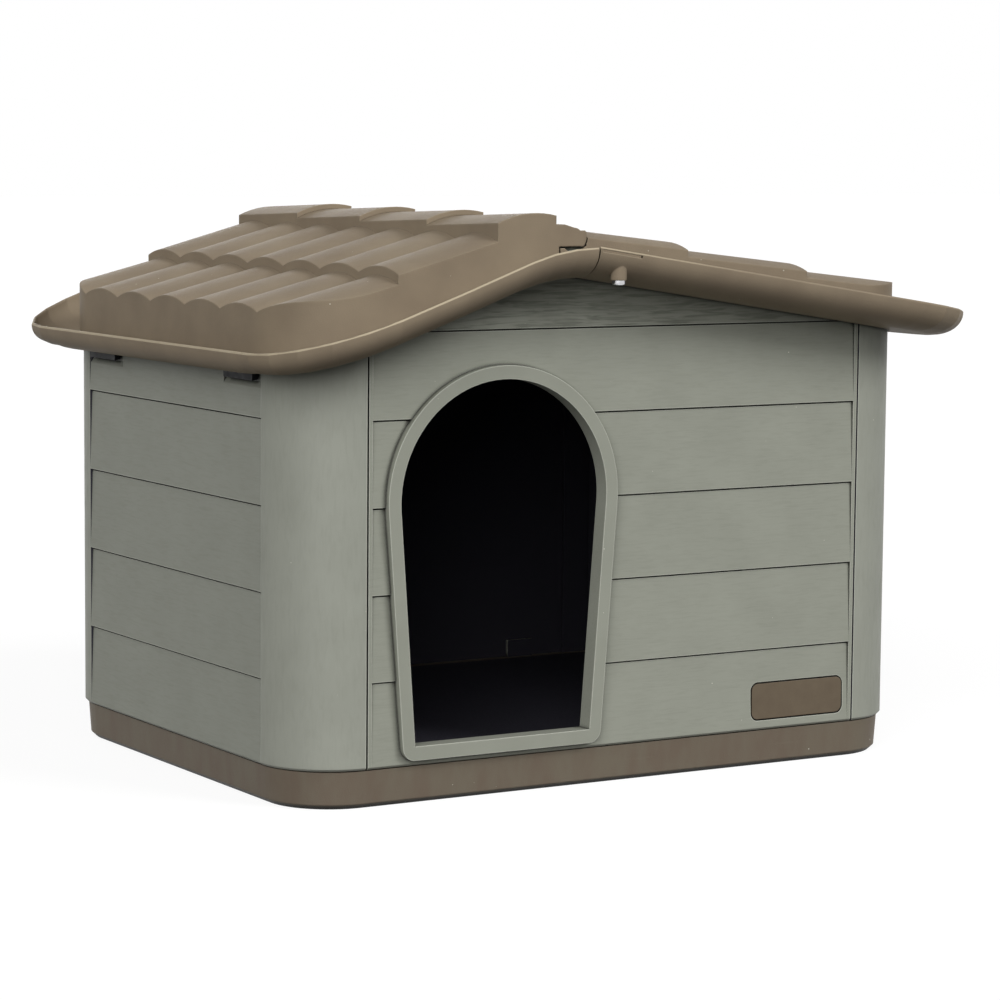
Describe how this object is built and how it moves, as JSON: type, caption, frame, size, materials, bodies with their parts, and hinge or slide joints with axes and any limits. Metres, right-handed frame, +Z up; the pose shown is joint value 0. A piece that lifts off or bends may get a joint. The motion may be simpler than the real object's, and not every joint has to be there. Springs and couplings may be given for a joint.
{
  "type": "cat house",
  "caption": "Moulded outdoor cat house with clapboard walls on a drafted base, an arched open doorway and a tiled gable roof whose halves hinge open at the ridge.",
  "frame": {"origin": "centre of the base's underside, on the surface that the house stands on", "axes": "+X to the right as one faces the doorway, +Y to the rear, +Z up"},
  "size_m": [0.5876, 0.5006, 0.4073],
  "materials": {
    "wall_plastic": "moulded grey-green polypropylene with a wood grain",
    "roof_plastic": "moulded brown polypropylene with a fine matte texture",
    "base_plastic": "moulded brown polypropylene, matte",
    "plate_plastic": "moulded dark brown polypropylene, matte",
    "clip_plastic": "moulded black nylon",
    "pin_steel": "drawn steel rod",
    "screw_steel": "bright zinc plated steel"
  },
  "bodies": {
    "house": {"base_tray": "base_plastic", "left_wall": "wall_plastic", "right_wall": "wall_plastic", "front_panel": "wall_plastic", "rear_panel": "wall_plastic", "front_gable": "wall_plastic", "rear_gable": "wall_plastic", "name_plate": "plate_plastic"},
    "roof_left": {"roof_left": "roof_plastic", "front_left_clip": "clip_plastic", "rear_left_clip": "clip_plastic"},
    "roof_right": {"roof_right": "roof_plastic", "ridge_pin": "pin_steel", "front_hinge_screw": "screw_steel", "rear_hinge_screw": "screw_steel", "front_right_clip": "clip_plastic", "rear_right_clip": "clip_plastic"}
  },
  "joints": [
    {"name": "roof_left_hinge", "type": "hinge", "parent": "house", "child": "roof_left", "pos_m": [-0.045, 0, 0.3905], "axis": [0, 1, 0], "range_deg": [0, 50]},
    {"name": "roof_right_hinge", "type": "hinge", "parent": "house", "child": "roof_right", "pos_m": [-0.045, 0, 0.3905], "axis": [0, -1, 0], "range_deg": [0, 50]}
  ]
}
